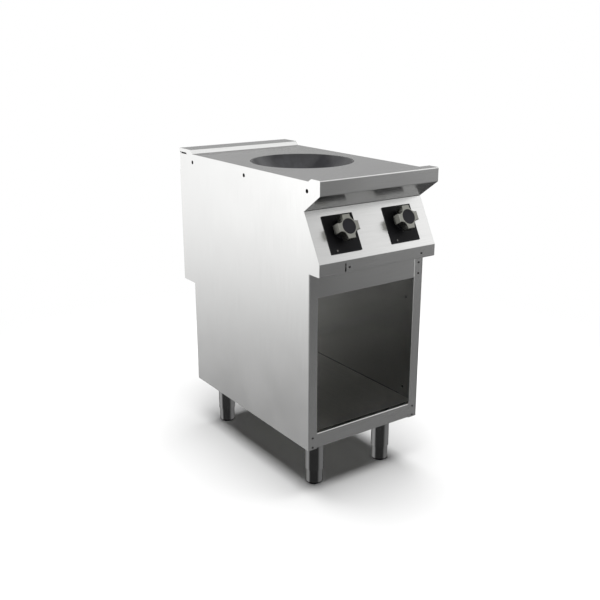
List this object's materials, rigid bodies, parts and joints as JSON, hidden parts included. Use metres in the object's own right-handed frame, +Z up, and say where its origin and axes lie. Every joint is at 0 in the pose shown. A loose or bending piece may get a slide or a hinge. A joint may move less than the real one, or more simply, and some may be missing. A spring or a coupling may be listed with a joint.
{
  "type": "induction wok cooker",
  "caption": "Floor-standing induction wok cooker module with a sunken glass bowl, two star knobs, an open base cabinet and levelling legs.",
  "frame": {"origin": "on the floor, midway between the sides and midway between the knob tips and the back", "axes": "+Z up; the front with the knobs faces -Y; +X to the right of someone facing the front"},
  "size_m": [0.4, 0.7625, 0.912],
  "materials": {
    "stainless": "satin brushed stainless steel sheet",
    "stainless_inner": "satin stainless steel, inner sheets",
    "screw_steel": "dark screw heads",
    "black_glass": "black glass ceramic",
    "seal_black": "black silicone",
    "control_black": "black satin plate",
    "knob_metal": "satin die-cast metal",
    "knob_black": "black satin plastic",
    "polished_steel": "polished stainless steel legs",
    "lamp_lens": "small translucent lens",
    "inner_plastic": "moulded plastic",
    "copper": "copper litz winding",
    "ferrite": "sintered ferrite",
    "insulation": "ceramic fibre blanket",
    "board_green": "circuit board laminate",
    "heat_sink": "extruded aluminium",
    "filter_mesh": "knitted aluminium mesh in a frame"
  },
  "bodies": {
    "cabinet": {"back_panel_lower": "stainless", "back_panel_upper": "stainless", "base_rail_left": "stainless_inner", "base_rail_right": "stainless_inner", "bezel_plate_left": "control_black", "bezel_plate_right": "control_black", "bottom_rail": "stainless", "bowl_ring": "stainless_inner", "bowl_seal": "seal_black", "cabinet_floor": "stainless", "cable_gland": "inner_plastic", "circuit_board": "board_green", "coil_brackets": "stainless_inner", "coil_carrier": "inner_plastic", "coil_winding": "copper", "control_panel": "stainless", "earth_stud": "copper", "electronics_tray": "stainless_inner", "fan_frame": "inner_plastic", "ferrite_bars": "ferrite", "filter_capacitors": "inner_plastic", "filter_guides": "stainless_inner", "frame_screws": "screw_steel", "generator_base": "stainless_inner", "generator_cover": "stainless_inner", "heat_sink": "heat_sink", "insulation": "insulation", "leg_sleeve_front_left": "polished_steel", "leg_sleeve_front_right": "polished_steel", "leg_sleeve_rear_left": "polished_steel", "leg_sleeve_rear_right": "polished_steel", "pilot_lamps": "lamp_lens", "power_modules": "inner_plastic", "rear_grille": "stainless", "side_panel_left": "stainless", "side_panel_right": "stainless", "stile_left": "stainless", "stile_right": "stainless", "switch_left": "inner_plastic", "switch_nuts": "screw_steel", "switch_right": "inner_plastic", "temperature_sensor": "stainless_inner", "terminal_block": "inner_plastic", "top_rail": "stainless", "wok_bowl": "black_glass", "worktop": "stainless"},
    "knob_left": {"knob_left": "knob_metal", "knob_cap_left": "knob_black", "knob_collar_left": "knob_black", "spindle_left": "stainless_inner"},
    "knob_right": {"knob_right": "knob_metal", "knob_cap_right": "knob_black", "knob_collar_right": "knob_black", "spindle_right": "stainless_inner"},
    "fan_rotor": {"fan_rotor": "inner_plastic"},
    "air_filter": {"air_filter": "filter_mesh"},
    "foot_front_left": {"foot_front_left": "polished_steel"},
    "foot_front_right": {"foot_front_right": "polished_steel"},
    "foot_rear_left": {"foot_rear_left": "polished_steel"},
    "foot_rear_right": {"foot_rear_right": "polished_steel"}
  },
  "joints": [
    {"name": "knob_left_turn", "type": "hinge", "parent": "cabinet", "child": "knob_left", "pos_m": [-0.104, -0.33074, 0.76453], "axis": [0, 0.8816, -0.472], "range_deg": [0, 270]},
    {"name": "knob_right_turn", "type": "hinge", "parent": "cabinet", "child": "knob_right", "pos_m": [0.1, -0.33074, 0.76453], "axis": [0, 0.8816, -0.472], "range_deg": [0, 270]},
    {"name": "fan_spin", "type": "hinge", "parent": "cabinet", "child": "fan_rotor", "pos_m": [0, -0.1785, 0.6137], "axis": [0, 0, 1], "continuous": true},
    {"name": "filter_slide", "type": "slide", "parent": "cabinet", "child": "air_filter", "axis": [0, -1, 0], "range_m": [0, 0.25]},
    {"name": "foot_front_left_screw", "type": "slide", "parent": "cabinet", "child": "foot_front_left", "axis": [0, 0, -1], "range_m": [0, 0.05]},
    {"name": "foot_front_right_screw", "type": "slide", "parent": "cabinet", "child": "foot_front_right", "axis": [0, 0, -1], "range_m": [0, 0.05]},
    {"name": "foot_rear_left_screw", "type": "slide", "parent": "cabinet", "child": "foot_rear_left", "axis": [0, 0, -1], "range_m": [0, 0.05]},
    {"name": "foot_rear_right_screw", "type": "slide", "parent": "cabinet", "child": "foot_rear_right", "axis": [0, 0, -1], "range_m": [0, 0.05]}
  ]
}
